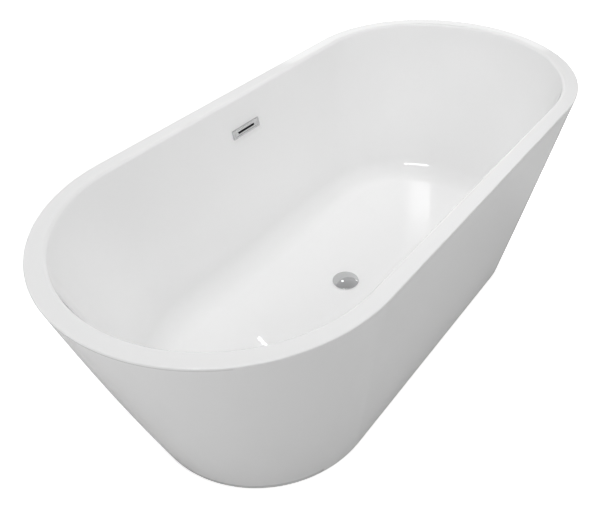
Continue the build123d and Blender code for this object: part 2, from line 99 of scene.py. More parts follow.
class BathtubShell(bpy.types.PropertyGroup):
    """Sizes of the two acrylic shells."""

    length: length("Length", "Length over the rim", 1.700)
    width: length("Width", "Width over the rim", 0.800)
    height: length("Height", "Height of the rim above the floor", solid_box[1].z)
    base_length: length("Base length", "Length of the skirt at its lower edge", 1.360)
    base_width: length("Base width", "Width of the skirt at its lower edge", 0.600)
    end_swell: length("End swell", "Outward bow of the skirt's ends at half height", 0.0055)
    floor_gap: length("Floor gap", "Gap under the skirt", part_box("skirt")[0].z)
    wall: length("Wall", "Thickness of both shells", 0.005)
    rim_width: length("Rim width", "Width of the flat rim", 0.041)
    rim_thickness: length("Rim thickness", "Depth of the rim's outer face", 0.008)
    rim_inner_round: length("Inner rounding", "Rounding between the rim and the basin", 0.010)
    rim_outer_round: length("Outer rounding", "Rounding of the rim's outer edge", 0.0025)
    edge_round: length("Edge rounding", "Small rounding of the shells' other edges", 0.0008)
    seam_bevel: length("Seam bevel", "Bevel of both edges at the seam under the rim", 0.0002)
    floor_height: length("Floor height", "Height of the basin's floor", 0.114)
    floor_thickness: length("Floor thickness", "Thickness of the basin's floor", 0.008)
    floor_round: length("Floor rounding", "Rounding between the basin's floor and walls", 0.075)
    side_hollow: length("Side hollow", "Space between the long walls at floor level", 0.028)
    end_hollow: length("End hollow", "Space between the end walls at floor level", 0.051)


class BathtubFittings(bpy.types.PropertyGroup):
    """Sizes of the drain and the overflow."""

    recess_radius: length("Recess radius", "Radius of the drain's recess in the floor", 0.037)
    recess_depth: length("Recess depth", "Depth of the drain's recess", 0.0035)
    hole_radius: length("Hole radius", "Radius of the drain's hole through the floor", 0.025)
    plug_gap: length("Plug gap", "Gap under the edge of the closed plug cap", 0.001)
    plug_edge: length("Plug edge", "Height of the plug cap's edge", 0.002)
    plug_edge_round: length("Plug rounding", "Rounding of the plug cap's edge", 0.0009)
    plug_boss: length("Plug boss", "Wall of the boss round the plug's spindle", 0.004)
    plug_clearance: length("Plug clearance", "Room round the plug's seal and spindle", 0.0001)
    overflow_drop: length("Overflow drop", "Depth of the overflow's middle below the rim", 0.093)
    cover_length: length("Cover length", "Length of the overflow's cover", 0.108)
    cover_height: length("Cover height", "Height of the overflow's cover", 0.026)
    cover_thickness: length("Cover thickness", "Thickness of the overflow's cover", 0.005)
    cover_corner: length("Cover corner", "Rounding of the cover's corners", 0.002)
    cover_bevel: length("Cover bevel", "Bevel round the cover's face", 0.001)
    cover_border: length("Cover border", "Width of the flat border round the dish", 0.0045)
    dish_depth: length("Dish depth", "Depth of the dish round the slot", 0.0012)
    dish_margin: length("Dish margin", "Flat bottom of the dish round the slot", 0.003)
    slot_length: length("Slot length", "Length of the overflow's slot", 0.066)
    slot_height: length("Slot height", "Height of the overflow's slot", 0.006)
    sleeve_margin: length("Sleeve margin", "Room round the slot inside the sleeve", 0.0025)
    sleeve_wall: length("Sleeve wall", "Thickness of the sleeve through the wall", 0.0015)
    sleeve_depth: length("Sleeve depth", "Reach of the sleeve behind the basin's face", 0.016)
    opening_clearance: length("Opening clearance", "Room round the sleeve in the wall", 0.001)


class BathtubHardware(bpy.types.PropertyGroup):
    """Sizes of the fasteners and the levelling feet."""

    stud_diameter: length("Stud diameter", "Diameter of a levelling stud", 0.012)
    thread_pitch: length("Thread pitch", "Rise of the stud's thread in one turn", 0.00175)
    thread_clearance: length("Thread clearance", "Room round a stud in its nuts and its pad", 0.0001)
    collar_height: length("Collar height", "Height of the stud's spanner collar", 0.007)
    collar_gap: length("Collar gap", "Room between the collar and the pad", 0.0003)
    pad_edge: length("Pad edge", "Height of a pad's straight edge", 0.006)
    pad_sole: length("Pad sole", "Thickness of a pad under its stud", 0.005)
    pad_neck: length("Pad neck", "Radius at the top of a pad", 0.015)
    pad_round: length("Pad rounding", "Rounding of a pad's edges", 0.0015)
    bolt_diameter: length("Bolt diameter", "Diameter of a bracket bolt", 0.006)
    bolt_spacing: length("Bolt spacing", "Distance between a bracket's bolts", 0.022)
    bolt_head: length("Bolt head", "Height of a bolt's head", 0.004)
    bolt_reach: length("Bolt reach", "Length of a bolt under its head", 0.010)
    screw_diameter: length("Screw diameter", "Diameter of a frame screw", 0.005)
    screw_spacing: length("Screw spacing", "Distance between a bar's screws", 0.180)
    screw_head: length("Screw head", "Height of a screw's head", 0.003)
    screw_head_radius: length("Screw head radius", "Radius of a screw's head", 0.005)
    screw_reach: length("Screw reach", "Length of a screw under its head", 0.041)


class BathtubFinish(bpy.types.PropertyGroup):
    """Colours of the materials."""

    acrylic: colour("Acrylic", "Polished white acrylic", (0.95, 0.95, 0.95))
    backing: colour("Backing", "Glass fibre behind the acrylic", (0.68, 0.67, 0.60))
    chrome: colour("Chrome", "Bright plating", (0.66, 0.665, 0.67))
    zinc: colour("Zinc", "Zinc-plated steel", (0.60, 0.61, 0.62))
    rubber: colour("Rubber", "Black rubber", (0.03, 0.03, 0.032))
    pipe: colour("Pipe", "White pipe plastic", (0.80, 0.80, 0.79))
    hose: colour("Hose", "Grey vinyl hose", (0.45, 0.46, 0.47))
    cap: colour("Cap", "Black moulded plastic", (0.035, 0.035, 0.037))
    plywood: colour("Plywood", "Sealed plywood", (0.62, 0.47, 0.31))
    brass: colour("Brass", "Turned brass", (0.72, 0.56, 0.30))


class BathtubStudio(bpy.types.PropertyGroup):
    """Light, floor and camera."""

    sky: amount("Sky", "Light from all round", 0.15)
    mirrored_sky: amount("Mirrored sky", "Grey that polished surfaces mirror from all round", 0.59)
    mirrored_zenith: amount("Mirrored zenith", "Grey that polished surfaces mirror from straight above", 0.43)
    floor: colour("Floor", "Floor's own colour", (0.65, 0.65, 0.65))
    floor_glow: amount("Floor glow", "White that the floor shows beside its own colour", 0.80)
    mirrored_glow: amount("Mirrored glow", "White that polished surfaces mirror from the floor", 0.10)
    lens: FloatProperty(name="Lens", description="Focal length of the camera", default=41.76, unit="CAMERA")


class Value:
    """One output of a node, whose arithmetic adds Math nodes beside it."""

    def __init__(self, nodes, socket):
        self.nodes = nodes
        self.socket = socket

    def maths(self, operation, other=0.0):
        """A Math node on this value, and on another where the operation takes two."""
        return self.nodes.maths(operation, self, other)

    def __add__(self, other):
        return self.maths("ADD", other)

    def __sub__(self, other):
        return self.maths("SUBTRACT", other)

    def __rsub__(self, other):
        return self.nodes.maths("SUBTRACT", other, self)

    def __mul__(self, other):
        return self.maths("MULTIPLY", other)

    def __truediv__(self, other):
        return self.maths("DIVIDE", other)

    def __rtruediv__(self, other):
        return self.nodes.maths("DIVIDE", other, self)

    __radd__ = __add__
    __rmul__ = __mul__

    def __abs__(self):
        return self.maths("ABSOLUTE")

    def ramp(self, start, end):
        """Rises from 0 at the start to 1 at the end, and stays there."""
        return self.nodes.maths("DIVIDE", self - start, end - start, clamped=True)


class Nodes:
    """A node tree under construction."""

    def __init__(self, tree):
        self.tree = tree
        tree.nodes.clear()

    def node(self, kind, settings=None, sockets=None, output=0):
        """Adds a node, sets it up, fills or links its sockets and returns one of its outputs."""
        made = self.tree.nodes.new(kind)
        for key, value in (settings or {}).items():
            setattr(made, key, value)
        for key, value in (sockets or {}).items():
            for part in value if isinstance(value, list) else [value]:
                if isinstance(part, Value):
                    self.tree.links.new(part.socket, made.inputs[key])
                else:
                    made.inputs[key].default_value = part
        return Value(self, made.outputs[output]) if made.outputs else None

    def maths(self, operation, first, second, clamped=False):
        """A Math node on two numbers."""
        settings = {"operation": operation, "use_clamp": clamped}
        return self.node("ShaderNodeMath", settings, {0: first, 1: second})

    def axis(self, vector, name):
        """One of a vector's three numbers."""
        return self.node("ShaderNodeSeparateXYZ", sockets={"Vector": vector}, output=name)


class Finish(Nodes):
    """The node tree of a material, of a lamp or of the world."""

    def __init__(self, owner):
        self.owner = owner
        owner.use_nodes = True
        super().__init__(owner.node_tree)

    def place(self, stretch=(1.0, 1.0, 1.0)):
        """Object coordinates, stretched along each axis."""
        point = self.node("ShaderNodeTexCoord", output="Object")
        return self.node("ShaderNodeMapping", sockets={"Vector": point, "Scale": stretch})

    def noise(self, scale, detail=3.0, roughness=0.5, stretch=(1.0, 1.0, 1.0)):
        """Cloudy noise from 0 to 1."""
        sockets = {"Vector": self.place(stretch), "Scale": scale, "Detail": detail, "Roughness": roughness}
        return self.node("ShaderNodeTexNoise", sockets=sockets)

    def blend(self, factor, first, second):
        """A colour between two others."""
        first_colour, second_colour, mixed_colour = 6, 7, 2  # the node's sockets for colours
        sockets = {"Factor": factor, first_colour: rgba(first), second_colour: rgba(second)}
        return self.node("ShaderNodeMix", {"data_type": "RGBA"}, sockets, output=mixed_colour)

    def mottle(self, mask, shade, darkest):
        """A shade that falls to a share of its brightness where a mask is low."""
        return self.blend(mask, darker(shade, darkest), shade)

    def bump(self, height, distance, strength=1.0):
        """A surface normal from a height, with the distance in metres."""
        sockets = {"Height": height, "Distance": distance, "Strength": strength}
        return self.node("ShaderNodeBump", sockets=sockets)

    def principled(self, **sockets):
        """Ends a material in one principled shader."""
        named = {key.replace("_", " "): value for key, value in sockets.items()}
        shader = self.node("ShaderNodeBsdfPrincipled", sockets=named)
        self.node("ShaderNodeOutputMaterial", sockets={"Surface": shader})
        return self.owner


class Recipe(Nodes):
    """A Geometry Nodes tree with named sizes, for small shapes that repeat.

    Each shape is a sheet wrapped round the Z axis. run is the share of its rows passed, from the inside
    of one end face, over the outside, to the inside of the other.
    """

    def __init__(self, name):
        super().__init__(bpy.data.node_groups.new(name, "GeometryNodeTree"))
        self.tree.interface.new_socket("shapes", in_out="OUTPUT", socket_type="NodeSocketGeometry")
        self.inputs = self.node("NodeGroupInput").socket.node
        [self.places] = self.sizes("places", kind="Geometry")

    def sizes(self, *names, kind="Float"):
        """Named inputs of the tree."""
        for name in names:
            self.tree.interface.new_socket(name, in_out="INPUT", socket_type=f"NodeSocket{kind}")
        return [Value(self, self.inputs.outputs[name]) for name in names]

    def sheet(self, columns, rows):
        """A flat sheet to wrap into a shape, with the share along its columns and its rows."""
        sockets = {"Size X": 1.0, "Size Y": 1.0, "Vertices X": columns + 1, "Vertices Y": rows + 1}
        sheet = self.node("GeometryNodeMeshGrid", sockets=sockets)
        point = self.node("GeometryNodeInputPosition")
        return sheet, self.axis(point, "X") + 0.5, self.axis(point, "Y") + 0.5

    def wrap(self, sheet, turn, radius, height):
        """Wraps a sheet round the Z axis and closes its seam."""
        angle = turn * math.tau
        along, across = radius * angle.maths("COSINE"), radius * angle.maths("SINE")
        place = self.node("ShaderNodeCombineXYZ", sockets={"X": along, "Y": across, "Z": height})
        moved = self.node("GeometryNodeSetPosition", sockets={"Geometry": sheet, "Position": place})
        sockets = {"Geometry": moved, "Distance": merge_distance}
        return self.node("GeometryNodeMergeByDistance", sockets=sockets)

    def hexagon(self, flat, height, bore, start):
        """A six-sided nut with turned-down corners, from a start up the Z axis."""
        sides = 6
        end_face = 0.97  # radius of the round end faces, as a share of the flats'
        chamfer = math.tan(math.radians(60))
        sheet, turn, run = self.sheet(columns=72, rows=20)
        side = (turn * sides).maths("FRACT") - 0.5
        corner = flat / (side * (math.tau / sides)).maths("COSINE")
        level = run.ramp(0.1, 0.8) - run.ramp(0.9, 1.0)
        outside = run.ramp(0.0, 0.1) - run.ramp(0.8, 0.9)
        cone = flat * end_face + (0.5 - abs(level - 0.5)) * height * chamfer
        radius = bore + outside * (corner.maths("MINIMUM", cone) - bore)
        return self.wrap(sheet, turn, radius, start + level * height)

    def rod(self, radius, start, end):
        """A plain round rod along the Z axis."""
        sheet, turn, run = self.sheet(columns=32, rows=5)
        level = run.ramp(0.2, 0.8)
        outside = run.ramp(0.0, 0.2) - run.ramp(0.8, 1.0)
        return self.wrap(sheet, turn, outside * radius, start + level * (end - start))

    def thread(self, radius, pitch, start, end):
        """A rod with a right-hand thread along the Z axis."""
        depth = 0.6  # of the groove, as a share of the pitch
        root, crest = 0.08, 0.42  # ends of the tooth's flank, as shares of the pitch
        sheet, turn, run = self.sheet(columns=40, rows=320)
        height = start + run.ramp(0.01, 0.99) * (end - start)
        tooth = (height / pitch - turn).maths("PINGPONG", 0.5).ramp(root, crest)
        near_end = ((height - start).maths("MINIMUM", end - height) / pitch).ramp(0.0, 1.0)
        groove = pitch * depth * (1.0 - tooth * near_end)
        outside = run.ramp(0.0, 0.01) - run.ramp(0.99, 1.0)
        return self.wrap(sheet, turn, outside * (radius - groove), height)

    def screw_head(self, head, height, shank, depth):
        """A domed head with a cross recess, and its plain shank below."""
        fall, recess_depth = 0.55, 0.6  # shares of the head's height
        sheet, turn, run = self.sheet(columns=64, rows=60)
        top = run.ramp(0.0, 0.6)
        radius = head * top - (head - shank) * run.ramp(0.7, 0.75) - shank * run.ramp(0.95, 1.0)
        angle = turn * math.tau
        across = abs(angle.maths("SINE")).maths("MINIMUM", abs(angle.maths("COSINE"))) * radius
        arm = 1.0 - across.ramp(head * 0.09, head * 0.16)
        recess = arm * (1.0 - radius.ramp(head * 0.45, head * 0.65)) * (1.0 - run.ramp(0.6, 0.61))
        crown = 1.0 - top * top * fall
        dome = height * (crown - recess * recess_depth) * (1.0 - run.ramp(0.6, 0.7))
        return self.wrap(sheet, turn, radius, dome - depth * run.ramp(0.75, 0.95))

    def end(self, *shapes):
        """Sets the shapes on every place, along its direction, and ends the tree."""
        whole = self.node("GeometryNodeJoinGeometry", sockets={"Geometry": list(shapes)})
        settings = {"data_type": "FLOAT_VECTOR"}
        direction = self.node("GeometryNodeInputNamedAttribute", settings, {"Name": "direction"})
        turned = self.node("FunctionNodeAlignRotationToVector", {"axis": "Z"}, {"Vector": direction})
        sockets = {"Points": self.places, "Instance": whole, "Rotation": turned}
        set_out = self.node("GeometryNodeInstanceOnPoints", sockets=sockets)
        plain = self.node("GeometryNodeRealizeInstances", sockets={"Geometry": set_out})
        [finish] = self.sizes("finish", kind="Material")
        coloured = self.node("GeometryNodeSetMaterial", sockets={"Geometry": plain, "Material": finish})
        self.node("NodeGroupOutput", sockets={"shapes": coloured})

    def grow(self, name, body, node, places, direction=(0.0, 0.0, 1.0), **sizes):
        """Makes the shapes on their places as one plain mesh, in the place of a solid."""
        sizes["finish"] = finish_of(slot_of_node[node])
        mesh = bpy.data.meshes.new(name)
        mesh.from_pydata(places, [], [])
        attribute = mesh.attributes.new("direction", "FLOAT_VECTOR", "POINT")
        attribute.data.foreach_set("vector", np.broadcast_to(direction, (len(places), 3)).ravel())
        seed = bpy.data.objects.new(name, mesh)
        bpy.context.scene.collection.objects.link(seed)
        modifier = seed.modifiers.new(name, "NODES")
        modifier.node_group = self.tree
        for item in self.tree.interface.items_tree:
            if item.in_out == "INPUT" and item.name in sizes:
                modifier[item.identifier] = sizes[item.name]
        grown = bpy.data.meshes.new_from_object(seed.evaluated_get(bpy.context.evaluated_depsgraph_get()))
        bpy.data.objects.remove(seed)
        settle(finish_mesh(name, grown), body, node)


def rgba(shade):
    """A colour with full alpha, or a linked colour as it is."""
    return shade if isinstance(shade, Value) else (*shade, 1.0)


def darker(shade, share):
    """A colour at a share of its brightness."""
    return tuple(channel * share for channel in shade)


def new_finish(name):
    """A new material's node tree."""
    return Finish(bpy.data.materials.new(name))


def acrylic_finish(shade):
    """Polished acrylic: a faint unevenness of colour and gloss."""
    finish = new_finish("polished_acrylic")
    cloud = finish.noise(scale=2.5)
    haze = finish.noise(scale=14.0, detail=5.0)
    ripple = finish.noise(scale=60.0, detail=1.0)
    return finish.principled(
        Base_Color=finish.mottle(cloud, shade, darkest=0.985),
        Roughness=haze * 0.03 + 0.02,
        IOR=1.49,
        Normal=finish.bump(ripple, 0.02 * millimetre),
    )


def backing_finish(shade):
    """Glass fibre in resin: crossing strands under a lumpy surface."""
    finish = new_finish("glass_fibre_backing")
    along = finish.noise(scale=55.0, detail=4.0, stretch=(1.0, 7.0, 3.0))
    across = finish.noise(scale=48.0, detail=4.0, stretch=(7.0, 1.0, 5.0))
    lumps = finish.noise(scale=18.0, detail=6.0, roughness=0.6)
    strands = along * across * 2.2
    return finish.principled(
        Base_Color=finish.mottle(strands, shade, darkest=0.72),
        Roughness=0.75 - strands * 0.3,
        Normal=finish.bump(lumps + strands, 0.8 * millimetre, strength=0.7),
    )


def chrome_finish(shade):
    """Bright plating with faint wiping marks."""
    finish = new_finish("bright_chrome")
    marks = finish.noise(scale=90.0, detail=4.0, stretch=(1.0, 1.0, 6.0))
    return finish.principled(
        Base_Color=finish.mottle(marks, shade, darkest=0.97),
        Metallic=1.0,
        Roughness=marks * 0.05 + 0.05,
    )


def zinc_finish(shade):
    """Zinc plating: cloudy, a little yellowed, with drawn lines along the metal."""
    finish = new_finish("zinc_plating")
    cloud = finish.noise(scale=22.0, detail=5.0)
    lines = finish.noise(scale=6.0, stretch=(4.0, 90.0, 90.0))
    yellowed = (shade[0] * 0.92, shade[1] * 0.88, shade[2] * 0.78)
    return finish.principled(
        Base_Color=finish.blend(cloud, yellowed, shade),
        Metallic=1.0,
        Roughness=0.28 + cloud * 0.14 + lines * 0.12,
        Normal=finish.bump(lines, 0.05 * millimetre, strength=0.5),
    )


def moulded_finish(name, shade, roughness, grain_scale, grain_height):
    """A moulded plastic or rubber with a fine grain and a slow change of gloss."""
    finish = new_finish(name)
    grain = finish.noise(scale=grain_scale, detail=4.0)
    cloud = finish.noise(scale=30.0)
    return finish.principled(
        Base_Color=finish.mottle(cloud, shade, darkest=0.9),
        Roughness=cloud * 0.14 + (roughness - 0.07),
        Normal=finish.bump(grain, grain_height, strength=0.6),
    )


def plywood_finish(shade):
    """Birch plywood: long grain on the faces and thin layers on the edges."""
    finish = new_finish("sealed_plywood")
    layer_height = 1.5 * millimetre
    grain = finish.noise(scale=5.0, detail=6.0, roughness=0.62, stretch=(1.2, 26.0, 26.0))
    pores = finish.noise(scale=4.0, detail=2.0, stretch=(6.0, 220.0, 220.0))
    layer = finish.axis(finish.place(), "Z").maths("PINGPONG", layer_height) / layer_height
    edge = 1.0 - abs(finish.axis(finish.node("ShaderNodeNewGeometry", output="Normal"), "Z"))
    face = finish.mottle(grain, shade, darkest=0.72)
    return finish.principled(
        Base_Color=finish.blend(layer * edge * 0.55, face, darker(shade, 0.45)),
        Roughness=0.5 + grain * 0.2,
        Normal=finish.bump(pores, 0.15 * millimetre, strength=0.5),
    )


def brass_finish(shade):
    """Turned brass with fine rings and dull patches."""
    finish = new_finish("turned_brass")
    rings = finish.noise(scale=2.0, detail=2.0, stretch=(8.0, 8.0, 900.0))
    dull = finish.noise(scale=70.0, detail=4.0)
    return finish.principled(
        Base_Color=finish.mottle(dull, shade, darkest=0.75),
        Metallic=1.0,
        Roughness=0.2 + dull * 0.2,
        Normal=finish.bump(rings, 0.03 * millimetre, strength=0.5),
    )


# a moulded finish also gives its roughness, the scale of its grain and the grain's height in metres
finish_makers = {
    "acrylic_white": lambda shades: acrylic_finish(shades.acrylic),
    "backing": lambda shades: backing_finish(shades.backing),
    "chrome": lambda shades: chrome_finish(shades.chrome),
    "zinc_steel": lambda shades: zinc_finish(shades.zinc),
    "rubber_black": lambda shades: moulded_finish("black_rubber", shades.rubber, 0.75, 900.0, 0.0001),
    "pipe_white": lambda shades: moulded_finish("white_pipe", shades.pipe, 0.42, 700.0, 0.00004),
    "hose_grey": lambda shades: moulded_finish("grey_vinyl", shades.hose, 0.5, 500.0, 0.00005),
    "cap_black": lambda shades: moulded_finish("black_plastic", shades.cap, 0.55, 800.0, 0.00006),
    "plywood": lambda shades: plywood_finish(shades.plywood),
    "brass": lambda shades: brass_finish(shades.brass),
}
made_finishes = {}


def finish_of(slot):
    """The material of one of the record's slots, made the first time it is asked for."""
    if slot not in made_finishes:
        made_finishes[slot] = finish_makers[slot](bpy.context.scene.bathtub_finish)
    return made_finishes[slot]


def dress(*nodes):
    """Gives solids that stay in view the finish of their slots."""
    for node in nodes:
        mesh = frame["nodes"][node].data
        mesh.materials.clear()
        mesh.materials.append(finish_of(slot_of_node[node]))


def settle(piece, body, node):
    """Fixes a finished piece to its body, in the place of the solid that it stands for."""
    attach(piece, body)
    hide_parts(node)


def finish_mesh(name, mesh):
    """Merges doubles, points the faces outwards, smooths the mesh and puts it in the scene."""
    tidy = bmesh.new()
    tidy.from_mesh(mesh)
    bmesh.ops.remove_doubles(tidy, verts=tidy.verts, dist=merge_distance)
    bmesh.ops.dissolve_degenerate(tidy, edges=tidy.edges, dist=sliver_size)
    bmesh.ops.recalc_face_normals(tidy, faces=tidy.faces)
    tidy.to_mesh(mesh)
    tidy.free()
    mesh.polygons.foreach_set("use_smooth", [True] * len(mesh.polygons))
    mesh.set_sharp_from_angle(angle=sharp_angle)
    piece = bpy.data.objects.new(name, mesh)
    bpy.context.scene.collection.objects.link(piece)
    return piece


def loop_mesh(name, rings, finishes, band_finish=None, left_out=(), added=()):
    """A closed mesh through rings of points, each joined to the next and the last to the first.

    band_finish gives the finish that starts at a ring. left_out are the bands and columns of an
    opening, and added are the faces round it, as the ring and column of each corner.
    """
    count = len(rings[0])
    faces = []
    choices = []
    choice = 0
    for band in range(len(rings)):
        choice = (band_finish or {}).get(band, choice)
        after = (band + 1) % len(rings)
        for column in range(count):
            if (band, column) not in left_out:
                beside = (column + 1) % count
                faces.append([(band, column), (band, beside), (after, beside), (after, column)])
                choices.append(choice)
    faces.extend(added)
    choices.extend([choice] * len(added))
    numbered = [[ring * count + column for ring, column in face] for face in faces]
    mesh = bpy.data.meshes.new(name)
    mesh.from_pydata(np.concatenate(rings).tolist(), [], numbered)
    for finish in finishes:
        mesh.materials.append(finish)
    mesh.polygons.foreach_set("material_index", choices)
    return finish_mesh(name, mesh)


def acrylic_shell(name, node, rings, band_finish, left_out=(), added=()):
    """A shell with an acrylic face and a glass-fibre back, in the place of a solid."""
    finishes = [finish_of("acrylic_white"), finish_of("backing")]
    settle(loop_mesh(name, rings, finishes, band_finish, left_out, added), "root", node)


def circle(radius, height, turn, centre=(0.0, 0.0)):
    """Points of a level circle at given angles."""
    along = centre[0] + radius * np.cos(turn)
    across = centre[1] + radius * np.sin(turn)
    return np.stack([along, across, np.full(len(turn), height)], 1)


def arc_points(centre, radius, first, last, steps):
    """Points of an arc in an outline, angles in degrees."""
    angles = np.radians(np.linspace(first, last, steps + 1))
    return [(centre[0] + radius * math.cos(a), centre[1] + radius * math.sin(a)) for a in angles]


def lathe(name, body, node, outline, steps, centre=(0.0, 0.0)):
    """A piece turned on an upright axis from radii and heights, in the place of a solid."""
    turn = np.linspace(0, math.tau, steps, endpoint=False)
    rings = [circle(radius, height, turn, centre) for radius, height in outline]
    settle(loop_mesh(name, rings, [finish_of(slot_of_node[node])]), body, node)


end_steps = 192
straight_steps = 6
opening_steps = 4
end_angles = np.linspace(-math.pi / 2, math.pi / 2, end_steps + 1)
end_cos = np.cos(end_angles)
end_sin = np.sin(end_angles)
rear_opening_column = end_steps + straight_steps


def opening_margin(fittings):
    """Distance from the overflow's slot to the edge of the opening in the basin's wall."""
    return fittings.sleeve_margin + fittings.sleeve_wall + fittings.opening_clearance


def straight_run(start, end):
    """Points between the two ends, with columns at both sides of the overflow's opening."""
    fittings = bpy.context.scene.bathtub_fittings
    half = fittings.slot_length / 2 + opening_margin(fittings)
    near, far = math.copysign(half, start[0]), math.copysign(half, end[0])
    along = np.concatenate(
        [
            np.linspace(start[0], near, straight_steps + 1)[1:],
            np.linspace(near, far, opening_steps + 1)[1:],
            np.linspace(far, end[0], straight_steps + 1)[1:-1],
        ]
    )
    run = np.repeat([start], len(along), axis=0)
    run[:, 0] = along
    return run


def tub_ring(spread, radius, height, drift=0.0):
    """Points round the tub: two ends of a radius, set apart by twice the spread, and straight sides.

    Each value may change round the end. drift moves a point along its end's tangent.
    """
    right = np.empty((end_steps + 1, 3))
    right[:, 0] = spread + radius * end_cos - drift * end_sin
    right[:, 1] = radius * end_sin + drift * end_cos
    right[:, 2] = height
    left = right[::-1] * (-1, 1, 1)
    return np.concatenate([right, straight_run(right[-1], left[0]), left, straight_run(left[-1], right[0])])


def round_ring(radius, height, like):
    """A circle round the middle, with its points in the directions of another ring's."""
    return circle(radius, height, np.arctan2(like[:, 1], like[:, 0]))


def between(first, second, steps):
    """Even steps from one ring or height to another, without the two."""
    return list(np.linspace(first, second, steps + 1)[1:-1])


def skirt_outline(shell, height, offset=0.0):
    """Half length and half width of the outer form at a height, let out by an offset."""
    rise = (height - shell.floor_gap) / (shell.height - shell.floor_gap)
    swell = 4 * shell.end_swell * rise * (1 - rise)
    half_length = (shell.base_length + (shell.length - shell.base_length) * rise) / 2 + swell
    half_width = (shell.base_width + (shell.width - shell.base_width) * rise) / 2
    return half_length + offset, half_width + offset


def basin_outline(shell, height, offset=0.0):
    """Half length and half width of the basin's inside at a height, let out by an offset."""
    skirt_length, skirt_width = skirt_outline(shell, shell.floor_height, -2 * shell.wall)
    floor_length = skirt_length - shell.end_hollow
    floor_width = skirt_width - shell.side_hollow
    rise = (height - shell.floor_height) / (shell.height - shell.floor_height)
    half_length = floor_length + (shell.length / 2 - shell.rim_width - floor_length) * rise
    half_width = floor_width + (shell.width / 2 - shell.rim_width - floor_width) * rise
    return half_length + offset, half_width + offset


def outline_ring(outline, shell, height, offset):
    """The ring of an outline at a height, let out by an offset."""
    half_length, half_width = outline(shell, height, offset)
    return tub_ring(half_length - half_width, half_width, height)


class LeaningWall:
    """A wall ruled from an outline up to the rim's, and the balls that round its edges."""

    def __init__(self, outline, shell, low, offset=0.0):
        low_half_length, self.radius = outline(shell, low, offset)
        high_half_length, high_radius = outline(shell, shell.height, offset)
        self.low = low
        self.rise = shell.height - low
        self.spread = low_half_length - self.radius
        self.spread_gain = high_half_length - high_radius - self.spread
        self.radius_gain = high_radius - self.radius
        self.slope = (self.spread_gain * end_cos + self.radius_gain) / self.rise
        self.slope_change = -self.spread_gain * end_sin / self.rise
        self.secant = np.sqrt(1 + self.slope**2)
        self.lean = np.arctan(self.slope)

    def at(self, height):
        """The ring on the wall at a height."""
        share = (height - self.low) / self.rise
        spread = self.spread + self.spread_gain * share
        return tub_ring(spread, self.radius + self.radius_gain * share, height)

    def ball(self, centre, side, radius, angle):
        """A ring on a ball that rolls along the wall, inside it for side -1 and outside it for 1."""
        lift = centre - self.low
        offset = lift * self.slope + side * radius * self.secant
        drift = (lift + side * radius * np.sin(self.lean)) * self.slope_change
        ring_radius = self.radius + offset + radius * np.cos(angle)
        return tub_ring(self.spread, ring_radius, centre + radius * np.sin(angle), drift)

    def arc(self, centre, side, radius, first, last, steps):
        """Rings over a rounding, from one angle to another, both included."""
        return [self.ball(centre, side, radius, angle) for angle in np.linspace(first, last, steps + 1)]


class OverflowPlace:
    """The leaning face that carries the overflow's cover: along the tub, up the wall and out of it."""

    def __init__(self, shell, fittings):
        height = shell.height - fittings.overflow_drop
        gain = basin_outline(shell, shell.height)[1] - basin_outline(shell, shell.floor_height)[1]
        self.lean = math.atan(gain / (shell.height - shell.floor_height))
        self.origin = np.array([0.0, basin_outline(shell, height)[1], height])
        self.along = np.array([1.0, 0.0, 0.0])
        self.up = np.array([0.0, math.sin(self.lean), math.cos(self.lean)])
        self.out = np.array([0.0, -math.cos(self.lean), math.sin(self.lean)])

    def ring(self, half_length, half_height, corner, depth, corner_steps=5):
        """A rounded rectangle at a distance out of the wall."""
        quarter = np.linspace(0, math.pi / 2, corner_steps + 1)
        centre = self.origin + depth * self.out
        points = []
        for number, (side, end) in enumerate([(1, 1), (-1, 1), (-1, -1), (1, -1)]):
            turn = quarter + number * math.pi / 2
            along = side * (half_length - corner) + corner * np.cos(turn)
            upward = end * (half_height - corner) + corner * np.sin(turn)
            points.append(centre + np.outer(along, self.along) + np.outer(upward, self.up))
        return np.concatenate(points)


